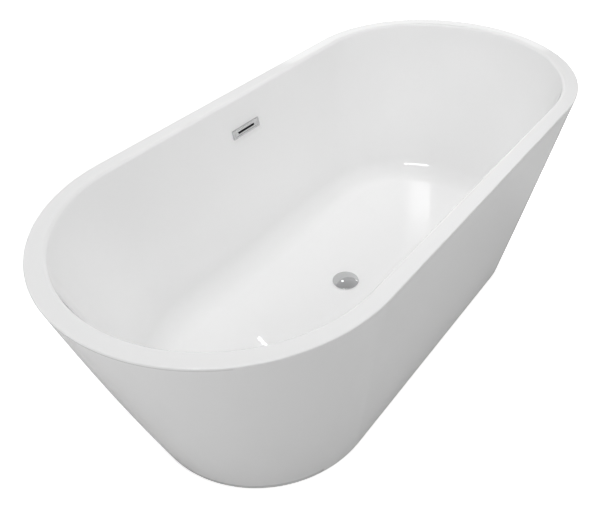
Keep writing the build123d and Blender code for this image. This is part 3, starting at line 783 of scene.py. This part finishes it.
class BATHTUB_OT_basin(bpy.types.Operator):
    """Make the basin with its rim, floor, drain recess and overflow opening."""

    bl_idname = "bathtub.basin"
    bl_label = "Basin"
    guard = 2 * millimetre  # width of the bands that keep a flat face flat beside its rounding
    floor_steps = 6
    floor_turn_steps = 18
    wall_steps = 5
    inner_rim_steps = 24
    outer_rim_steps = 5
    back_turn_steps = 12
    rim_shares = (0.05, 0.35, 0.65, 0.95)
    back_shares = (0.35, 0.7, 0.98)

    def execute(self, context):
        shell = context.scene.bathtub_shell
        fittings = context.scene.bathtub_fittings
        inside = LeaningWall(basin_outline, shell, shell.floor_height)
        rim = LeaningWall(skirt_outline, shell, shell.height - shell.rim_thickness)
        outside = LeaningWall(basin_outline, shell, shell.floor_height - shell.floor_thickness, shell.wall)
        place = OverflowPlace(shell, fittings)
        half = (fittings.slot_height / 2 + opening_margin(fittings)) * math.cos(place.lean)
        low, high = place.origin[2] - half, place.origin[2] + half
        slip = shell.wall * math.sin(place.lean)
        rings = self.floor_rings(shell, fittings, inside)
        rings += self.lower_wall_rings(shell, inside, low)
        front = len(rings) - 1  # the opening's lower edge on the face
        rings += self.upper_wall_rings(shell, inside, high)
        rings += self.rim_rings(shell, inside, rim)
        backing_start = len(rings) - 1
        back = len(rings) + 1  # the opening's upper edge on the back
        rings += self.outer_rings(shell, fittings, outside, low - slip, high - slip)
        acrylic_again = len(rings) - 1
        rings += self.hole_rings(shell, fittings, rings[-1])
        band_finish = {backing_start: 1, acrylic_again: 0}
        acrylic_shell("basin_shell", "basin", rings, band_finish, *self.opening(front, back))
        return {"FINISHED"}

    def floor_rings(self, shell, fittings, inside):
        """From the recess out to the start of the floor's rounding."""
        centre = shell.floor_height + shell.floor_round
        edge = inside.ball(centre, -1, shell.floor_round, -math.pi / 2)
        inner = round_ring(fittings.recess_radius, shell.floor_height, edge)
        lip = round_ring(fittings.recess_radius + self.guard, shell.floor_height, edge)
        shrunk = edge * (1 - self.guard / shell.base_width)
        shrunk[:, 2] = shell.floor_height
        return [inner, lip, *between(lip, shrunk, self.floor_steps), shrunk]

    def lower_wall_rings(self, shell, inside, low):
        """Over the floor's rounding and up the wall to the lower edge of the overflow's opening."""
        centre = shell.floor_height + shell.floor_round
        rings = inside.arc(centre, -1, shell.floor_round, -math.pi / 2, -inside.lean, self.floor_turn_steps)
        foot = centre - shell.floor_round * np.sin(inside.lean)
        heights = [foot + self.guard, *between(foot, low, self.wall_steps), low]
        return rings + [inside.at(height) for height in heights]

    def upper_wall_rings(self, shell, inside, high):
        """From the upper edge of the overflow's opening to the rim's rounding."""
        top = shell.height - shell.rim_inner_round + shell.rim_inner_round * np.sin(inside.lean)
        return [inside.at(height) for height in (high, (high + top) / 2, top - self.guard)]

    def rim_rings(self, shell, inside, rim):
        """Over the rim, from the basin's wall to the rim's underside."""
        inner = shell.rim_inner_round
        outer = shell.rim_outer_round
        start = math.pi - inside.lean
        rings = inside.arc(shell.height - inner, 1, inner, start, math.pi / 2, self.inner_rim_steps)
        rounding = rim.arc(shell.height - outer, -1, outer, math.pi / 2, -rim.lean, self.outer_rim_steps)
        flat = rounding[0] - rings[-1]
        rings += [rings[-1] + flat * share for share in self.rim_shares]
        rings += rounding
        rings.append(rim.at(rim.low + shell.seam_bevel))
        rings.append(outline_ring(skirt_outline, shell, rim.low, -shell.seam_bevel))
        return rings

    def outer_rings(self, shell, fittings, outside, low, high):
        """Down the back of the wall, past the overflow's opening, and under the floor."""
        turn = shell.floor_round + shell.wall
        centre = outside.low + turn
        foot = centre - turn * np.sin(outside.lean)
        heights = [shell.height - shell.rim_thickness, high, low]
        heights += [low + (foot - low) * share for share in self.back_shares]
        rings = [outside.at(height) for height in heights]
        rings += outside.arc(centre, -1, turn, -outside.lean, -math.pi / 2, self.back_turn_steps)
        hole = round_ring(fittings.hole_radius, outside.low, rings[-1])
        return [*rings, *between(rings[-1], hole, self.floor_steps), hole]

    def hole_rings(self, shell, fittings, hole):
        """Up through the drain's hole and over the recess to its edge."""
        ledge = shell.floor_height - fittings.recess_depth
        sizes = [
            (fittings.hole_radius, ledge),
            (fittings.recess_radius, ledge),
            (fittings.recess_radius, shell.floor_height - shell.edge_round / 2),
        ]
        return [round_ring(radius, height, hole) for radius, height in sizes]

    def opening(self, front, back):
        """Faces to leave out for the overflow's opening, and the faces of its four sides."""
        columns = range(rear_opening_column, rear_opening_column + opening_steps)
        left_out = {(band, column) for band in (front, back) for column in columns}
        added = []
        for column in columns:
            for inner, outer in ((front, back + 1), (front + 1, back)):
                added.append([(inner, column), (inner, column + 1), (outer, column + 1), (outer, column)])
        for column in (columns[0], columns[-1] + 1):
            added.append([(ring, column) for ring in (front, front + 1, back, back + 1)])
        return left_out, added


class BATHTUB_OT_skirt(bpy.types.Operator):
    """Make the outer shell."""

    bl_idname = "bathtub.skirt"
    bl_label = "Skirt"
    face_steps = 28
    back_steps = 8

    def execute(self, context):
        shell = context.scene.bathtub_shell
        low = shell.floor_gap
        high = shell.height - shell.rim_thickness
        face = np.linspace(low + shell.edge_round, high - shell.seam_bevel, self.face_steps + 1)
        back = np.linspace(high, low, self.back_steps + 1)
        lines = [(low, shell.wall / 2), (low, shell.edge_round)]
        lines += [(height, 0.0) for height in face]
        lines.append((high, shell.seam_bevel))
        backing_start = len(lines)
        lines += [(height, shell.wall) for height in back]
        rings = [outline_ring(skirt_outline, shell, height, -inset) for height, inset in lines]
        acrylic_shell("skirt_shell", "skirt", rings, {backing_start: 1})
        return {"FINISHED"}


class BATHTUB_OT_plug(bpy.types.Operator):
    """Make the domed plug cap, and finish its seal and spindle."""

    bl_idname = "bathtub.plug"
    bl_label = "Plug"
    turn_steps = 128
    dome_steps = 22
    edge_steps = 5
    foot_steps = 3

    def execute(self, context):
        fittings = context.scene.bathtub_fittings
        low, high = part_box("plug_cap")
        radius, top = high.x, high.z
        seal_radius, seal_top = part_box("plug_seal")[1].xz
        edge = context.scene.bathtub_shell.floor_height + fittings.plug_gap
        crown = top - edge - fittings.plug_edge
        dome = (radius**2 + crown**2) / (2 * crown)
        rounding = fittings.plug_edge_round
        reach = math.asin((radius - rounding) / (dome - rounding))
        slant = 90 - math.degrees(reach)
        corner = (radius - rounding, top - dome + (dome - rounding) * math.cos(reach))
        foot = rounding / 2
        pocket = seal_radius + fittings.plug_clearance
        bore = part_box("plug_spindle")[1].x + fittings.plug_clearance
        boss = bore + fittings.plug_boss
        outline = arc_points((0.0, top - dome), dome, 90, slant, self.dome_steps)
        outline += arc_points(corner, rounding, slant, 0, self.edge_steps)[1:]
        outline += arc_points((radius - foot, edge + foot), foot, 0, -90, self.foot_steps)
        outline += [(pocket, edge), (pocket, seal_top), (boss, seal_top), (boss, low.z)]
        outline += [(bore, low.z), (bore, seal_top), (0.0, seal_top)]
        lathe("plug_dome", "plug", "plug_cap", outline, self.turn_steps)
        dress("plug_seal", "plug_spindle")
        return {"FINISHED"}


class BATHTUB_OT_overflow(bpy.types.Operator):
    """Make the overflow's cover, and finish the body, hose and clips behind it."""

    bl_idname = "bathtub.overflow"
    bl_label = "Overflow"

    def execute(self, context):
        fittings = context.scene.bathtub_fittings
        place = OverflowPlace(context.scene.bathtub_shell, fittings)
        cover = (fittings.cover_length / 2, fittings.cover_height / 2)
        slot = (fittings.slot_length / 2, fittings.slot_height / 2)
        face = fittings.cover_thickness
        dish = face - fittings.dish_depth
        back = -fittings.sleeve_depth
        bevel, border = fittings.cover_bevel, fittings.cover_border
        room = fittings.sleeve_margin
        sleeve = room + fittings.sleeve_wall
        corner = fittings.cover_corner
        small = corner / 4
        bright = [
            (cover, 0.0, corner, 0.0),
            (cover, 0.0, corner, face - bevel),
            (cover, -bevel / 3, corner, face - bevel / 3),
            (cover, -bevel, corner, face),
            (cover, -border, corner, face),
            (cover, -border - small, corner, face - small / 2),
            (slot, fittings.dish_margin, corner, dish),
            (slot, small, small, dish),
        ]
        dark = [
            (slot, 0.0, small, dish - small),
            (slot, 0.0, small, 0.0),
            (slot, room, small, 0.0),
            (slot, room, small, back),
            (slot, sleeve, small, back),
        ]
        bright_again = (slot, sleeve, small, 0.0)
        rings = [
            place.ring(size[0] + offset, size[1] + offset, rounding, depth)
            for size, offset, rounding, depth in (*bright, *dark, bright_again)
        ]
        band_finish = {len(bright): 1, len(bright) + len(dark): 0}
        finishes = [finish_of("chrome"), finish_of("cap_black")]
        settle(loop_mesh("overflow_plate", rings, finishes, band_finish), "root", "overflow_cover")
        dress("overflow_gasket", "overflow_body", "overflow_hose", "hose_clip_upper", "hose_clip_lower")
        return {"FINISHED"}


class BATHTUB_OT_drain(bpy.types.Operator):
    """Finish the drain, its seals and nuts, and the waste tee."""

    bl_idname = "bathtub.drain"
    bl_label = "Drain"

    def execute(self, context):
        dress("drain_flange", "drain_gasket", "drain_washer", "drain_back_nut", "drain_cartridge")
        dress("waste_tee", "waste_union_nut")
        return {"FINISHED"}


ends = ("left", "right")
corners = [f"{side}_{end}" for side in ("front", "rear") for end in ends]


def middle(node):
    """The middle of a solid's box."""
    low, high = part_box(node)
    return (low + high) / 2


class BATHTUB_OT_underframe(bpy.types.Operator):
    """Make the screws and bolts, and finish the board, rails, bars and brackets."""

    bl_idname = "bathtub.underframe"
    bl_label = "Underframe"

    def execute(self, context):
        hardware = context.scene.bathtub_hardware
        bars = [f"cross_bar_{place}_{end}" for place in ("outer", "inner") for end in ends]
        dress("base_board", "rail_front", "rail_rear", "rail_end_caps", *bars)
        dress(*[f"skirt_bracket_{corner}" for corner in corners])
        self.bolts(hardware)
        self.screws(hardware, bars)
        return {"FINISHED"}

    def bolts(self, hardware):
        """Hexagon bolts through the brackets into the rails."""
        recipe = Recipe("hexagon_bolts")
        names = ("half_width", "head_height", "shank_radius", "shank_length")
        flat, height, radius, reach = recipe.sizes(*names)
        recipe.end(recipe.hexagon(flat, height, 0.0, 0.0), recipe.rod(radius, 0.0 - reach, height / 2))
        low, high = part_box("bracket_bolts")
        places, directions = [], []
        for corner in corners:
            bracket = middle(f"skirt_bracket_{corner}")
            side = math.copysign(1.0, bracket.y)
            for shift in (-hardware.bolt_spacing / 2, hardware.bolt_spacing / 2):
                places.append((bracket.x + shift, side * (high.y - hardware.bolt_head), (low.z + high.z) / 2))
                directions.append((0.0, side, 0.0))
        recipe.grow(
            "bolt_heads",
            "root",
            "bracket_bolts",
            places,
            directions,
            half_width=(high.z - low.z) / 2,
            head_height=hardware.bolt_head,
            shank_radius=hardware.bolt_diameter / 2,
            shank_length=hardware.bolt_reach,
        )

    def screws(self, hardware, bars):
        """Cross-recess screws up through the bars into the board."""
        recipe = Recipe("cross_recess_screws")
        names = ("head_radius", "head_height", "shank_radius", "shank_length")
        recipe.end(recipe.screw_head(*recipe.sizes(*names)))
        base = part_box("frame_screws")[0].z + hardware.screw_head
        recipe.grow(
            "screw_heads",
            "root",
            "frame_screws",
            [(middle(bar).x, side * hardware.screw_spacing / 2, base) for bar in bars for side in (-1, 1)],
            (0.0, 0.0, -1.0),
            head_radius=hardware.screw_head_radius,
            head_height=hardware.screw_head,
            shank_radius=hardware.screw_diameter / 2,
            shank_length=hardware.screw_reach,
        )


class BATHTUB_OT_feet(bpy.types.Operator):
    """Make the levelling feet: pads, threaded studs and their nuts."""

    bl_idname = "bathtub.feet"
    bl_label = "Feet"
    turn_steps = 72
    sole_steps = 4
    neck_steps = 3
    lip_angle, neck_angle = 50, 40

    def execute(self, context):
        hardware = context.scene.bathtub_hardware
        bore = hardware.stud_diameter / 2 + hardware.thread_clearance
        self.nuts(bore)
        self.studs(hardware)
        for corner in corners:
            self.pad(hardware, f"foot_pad_{corner}", f"moulded_pad_{corner}", bore)
        return {"FINISHED"}

    def nuts(self, bore):
        """The welded nuts under the rails, and the lock nuts below them."""
        recipe = Recipe("hexagon_nuts")
        recipe.end(recipe.hexagon(*recipe.sizes("half_width", "height", "bore"), start=0.0))
        feet = [middle(f"foot_stud_{corner}") for corner in corners]
        for node in ("weld_nuts", "lock_nuts"):
            low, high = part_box(node)
            recipe.grow(
                f"{node}_turned",
                "root",
                node,
                [(foot.x, foot.y, low.z) for foot in feet],
                half_width=high.y - max(foot.y for foot in feet),
                height=high.z - low.z,
                bore=bore,
            )

    def studs(self, hardware):
        """Threaded studs, each with a spanner collar above its pad."""
        recipe = Recipe("threaded_studs")
        thread = recipe.thread(*recipe.sizes("radius", "pitch", "start", "end"))
        flat, height, collar = recipe.sizes("half_width", "collar_height", "collar_start")
        recipe.end(thread, recipe.hexagon(flat, height, 0.0, collar))
        for corner in corners:
            node = f"foot_stud_{corner}"
            low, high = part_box(node)
            recipe.grow(
                f"threaded_stud_{corner}",
                node,
                node,
                [(*middle(node).xy, 0.0)],
                radius=hardware.stud_diameter / 2,
                pitch=hardware.thread_pitch,
                start=low.z,
                end=high.z,
                half_width=(high.y - low.y) / 2,
                collar_height=hardware.collar_height,
                collar_start=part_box(f"foot_pad_{corner}")[1].z + hardware.collar_gap,
            )

    def pad(self, hardware, node, name, bore):
        """A moulded pad with rounded edges and a dished neck."""
        low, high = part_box(node)
        rounding = hardware.pad_round
        side = (high.x - low.x) / 2 - rounding
        edge = low.z + hardware.pad_edge
        sole = low.z + hardware.pad_sole
        outline = [(0.0, low.z)]
        outline += arc_points((side, low.z + rounding), rounding, -90, 0, self.sole_steps)
        outline += arc_points((side, edge - rounding), rounding, 0, self.lip_angle, self.neck_steps)
        neck = (hardware.pad_neck - rounding, high.z - rounding)
        outline += arc_points(neck, rounding, self.neck_angle, 90, self.neck_steps)
        outline += [(bore, high.z), (bore, sole), (0.0, sole)]
        lathe(name, node, node, outline, self.turn_steps, middle(node))


class BATHTUB_OT_studio(bpy.types.Operator):
    """Make the floor, the light and the camera."""

    bl_idname = "bathtub.studio"
    bl_label = "Studio"
    floor_radius = 30.0
    floor_sides = 96
    whitening = (1.5, 5.0)  # distances between which the floor turns white
    zenith = (0.7, 1.0)  # heights on a unit sky between which it turns to the zenith's grey
    softbox_distance = 4.0
    softbox_size = (2.0, 2.0)
    softbox_target = Vector((0.0, 0.0, 0.3))
    softboxes = (  # name, azimuth and elevation in degrees, and power in watts
        ("top_softbox", 0.0, 88.0, 62.0),
        ("left_softbox", 180.0, 15.0, 39.8),
        ("front_softbox", 270.0, 40.0, 31.5),
        ("right_softbox", 315.0, 15.0, 16.3),
        ("rear_softbox", 90.0, 40.0, 23.5),
    )
    # name, place, target, size, power in watts, and roll and spread in degrees
    basin_lamp = ("basin_lamp", (0.0, 0.0, 2.3), (0.0, 0.001, 0.0), (1.0, 0.3), 0.36, 0.0, 40.0)
    mirrored_lamps = (
        ("ceiling_lamp", (1.27, 1.33, 2.49), (0.0, 0.0, 0.123), (0.24, 0.34), 0.006, 0.0, 16.0),
        ("rear_glint", (-0.076, 0.283, 0.474), (-0.327, 0.046, 0.114), (0.008, 0.036), 0.00016, 35.0, 16.0),
        ("plug_glint", (1.326, 0.086, 1.033), (0.0154, -0.0276, 0.119), (0.196, 0.045), 0.0005, 0.0, 16.0),
        ("rear_panel", (2.87, 2.31, 1.5), (-0.1, -0.37, 0.6), (5.2, 1.0), 16.3, 0.0, 180.0),
        ("window_lamp", (-1.617, -1.02, 2.117), (0.629, 0.127, 0.146), (1.48, 0.4), 24.0, 0.0, 180.0),
        ("strip_lamp", (0.56, 0.071, 0.213), (0.443, 0.0125, 0.121), (0.0975, 0.25), 0.0056, 4.6, 40.0),
    )
    camera_place = (-1.2711, -0.8466, 1.4631)
    camera_dip = math.radians(39.13)
    camera_heading = math.radians(35.11)
    camera_shift = -0.0542
    sensor_width = 36.0

    def execute(self, context):
        studio = context.scene.bathtub_studio
        self.floor(studio)
        self.sky(studio)
        self.lamps()
        self.camera(studio)
        context.scene.view_settings.view_transform = "Standard"
        return {"FINISHED"}

    def rays(self, finish):
        """1 where a ray comes from the camera, and 1 where it comes from a reflection or through glass."""
        camera, mirror, glass = (
            finish.node("ShaderNodeLightPath", output=f"Is {kind} Ray")
            for kind in ("Camera", "Glossy", "Transmission")
        )
        return camera, mirror.maths("MAXIMUM", glass)

    def floor(self, studio):
        """A wide round floor that looks white and keeps a soft shadow."""
        finish = new_finish("studio_floor")
        own = finish.node("ShaderNodeBsdfDiffuse", sockets={"Color": rgba(studio.floor)})
        camera, mirrored = self.rays(finish)
        measure = {"operation": "LENGTH"}
        distance = finish.node("ShaderNodeVectorMath", measure, {0: finish.place()}, output="Value")
        shown_glow = studio.floor_glow + distance.ramp(*self.whitening) * (1.0 - studio.floor_glow)
        level = camera * shown_glow + mirrored * studio.mirrored_glow
        glow = finish.node("ShaderNodeEmission", sockets={"Color": level})
        shown = finish.node("ShaderNodeAddShader", sockets={0: own, 1: glow})
        finish.node("ShaderNodeOutputMaterial", sockets={"Surface": shown})
        disc = bmesh.new()
        bmesh.ops.create_circle(disc, cap_ends=True, segments=self.floor_sides, radius=self.floor_radius)
        mesh = bpy.data.meshes.new("studio_floor")
        disc.to_mesh(mesh)
        disc.free()
        mesh.materials.append(finish.owner)
        floor = bpy.data.objects.new("studio_floor", mesh)
        bpy.context.scene.collection.objects.link(floor)

    def sky(self, studio):
        """Even light from all round, seen as white and mirrored as grey."""
        world = bpy.data.worlds.new("studio_sky")
        bpy.context.scene.world = world
        finish = Finish(world)
        camera, mirrored = self.rays(finish)
        overhead = finish.axis(finish.place(), "Z").ramp(*self.zenith)
        grey = studio.mirrored_sky + overhead * (studio.mirrored_zenith - studio.mirrored_sky)
        level = camera * (1.0 - studio.sky) + mirrored * (grey - studio.sky) + studio.sky
        light = finish.node("ShaderNodeBackground", sockets={"Color": level})
        finish.node("ShaderNodeOutputWorld", sockets={"Surface": light})

    def lamps(self):
        """Soft lamps that give the basin its shading, and lamps that only polished surfaces show."""
        for softbox in self.softboxes:
            self.softbox(*softbox)
        self.lamp(*self.basin_lamp).visible_glossy = False
        for lamp in self.mirrored_lamps:
            self.lamp(*lamp).visible_diffuse = False
        self.fade(bpy.data.lights["strip_lamp"])

    def fade(self, light):
        """Softens a lamp's ends and sides, by shares of its width and length."""
        finish = Finish(light)
        place = finish.node("ShaderNodeNewGeometry", output="Parametric")
        across, along = finish.axis(place, "X"), finish.axis(place, "Y")
        level = across.ramp(0.0, 0.07) * (1.0 - across.ramp(0.55, 1.0))
        level = level * (along.ramp(0.0, 0.25) * 0.65 + 0.35) * (1.0 - along.ramp(0.55, 1.0))
        glow = finish.node("ShaderNodeEmission", sockets={"Color": level})
        finish.node("ShaderNodeOutputLight", sockets={"Surface": glow})

    def softbox(self, name, azimuth, elevation, power):
        """A wide soft lamp that shows in no reflection."""
        turn, rise = math.radians(azimuth), math.radians(elevation)
        away = Vector((math.cos(turn) * math.cos(rise), math.sin(turn) * math.cos(rise), math.sin(rise)))
        place = self.softbox_target + away * self.softbox_distance
        lamp = self.lamp(name, place, self.softbox_target, self.softbox_size, power, 0.0, 180.0)
        lamp.visible_glossy = False

    def lamp(self, name, place, target, size, power, roll, spread):
        """A rectangular lamp aimed at a target and rolled about its aim."""
        light = bpy.data.lights.new(name, "AREA")
        light.shape = "RECTANGLE"
        light.size, light.size_y = size
        light.energy = power
        light.spread = math.radians(spread)
        lamp = bpy.data.objects.new(name, light)
        lamp.location = place
        aim = (Vector(place) - Vector(target)).to_track_quat("Z", "Y")
        lamp.rotation_euler = (aim @ Quaternion((0.0, 0.0, 1.0), math.radians(roll))).to_euler()
        lamp.visible_camera = False
        bpy.context.scene.collection.objects.link(lamp)
        return lamp

    def camera(self, studio):
        """The camera, looking down at the tub from its left front."""
        data = bpy.data.cameras.new("camera")
        data.lens = studio.lens
        data.sensor_width = self.sensor_width
        data.shift_x = self.camera_shift
        camera = bpy.data.objects.new("camera", data)
        camera.location = self.camera_place
        camera.rotation_euler = (math.pi / 2 - self.camera_dip, 0.0, self.camera_heading - math.pi / 2)
        bpy.context.scene.collection.objects.link(camera)
        bpy.context.scene.camera = camera


operators = (
    BATHTUB_OT_basin,
    BATHTUB_OT_skirt,
    BATHTUB_OT_plug,
    BATHTUB_OT_overflow,
    BATHTUB_OT_drain,
    BATHTUB_OT_underframe,
    BATHTUB_OT_feet,
    BATHTUB_OT_studio,
)
groups = {
    "bathtub_shell": BathtubShell,
    "bathtub_fittings": BathtubFittings,
    "bathtub_hardware": BathtubHardware,
    "bathtub_finish": BathtubFinish,
    "bathtub_studio": BathtubStudio,
}


class BATHTUB_PT_panel(bpy.types.Panel):
    """Lists the bathtub's sizes, colours and pieces."""

    bl_idname = "BATHTUB_PT_panel"
    bl_label = "Bathtub"
    bl_space_type = "VIEW_3D"
    bl_region_type = "UI"
    bl_category = "Bathtub"

    def draw(self, context):
        for operator in operators:
            self.layout.operator(operator.bl_idname)
        for name, group in groups.items():
            box = self.layout.box()
            for key in group.__annotations__:
                box.prop(getattr(context.scene, name), key)


def register():
    for group in groups.values():
        bpy.utils.register_class(group)
    for name, group in groups.items():
        setattr(bpy.types.Scene, name, PointerProperty(type=group))
    for operator in operators:
        bpy.utils.register_class(operator)
    bpy.utils.register_class(BATHTUB_PT_panel)


def unregister():
    bpy.utils.unregister_class(BATHTUB_PT_panel)
    for operator in reversed(operators):
        bpy.utils.unregister_class(operator)
    for name in groups:
        delattr(bpy.types.Scene, name)
    for group in reversed(groups.values()):
        bpy.utils.unregister_class(group)


def main():
    register()
    for operator in operators:
        family, name = operator.bl_idname.split(".")
        getattr(getattr(bpy.ops, family), name)()


if __name__ == "__main__":
    main()
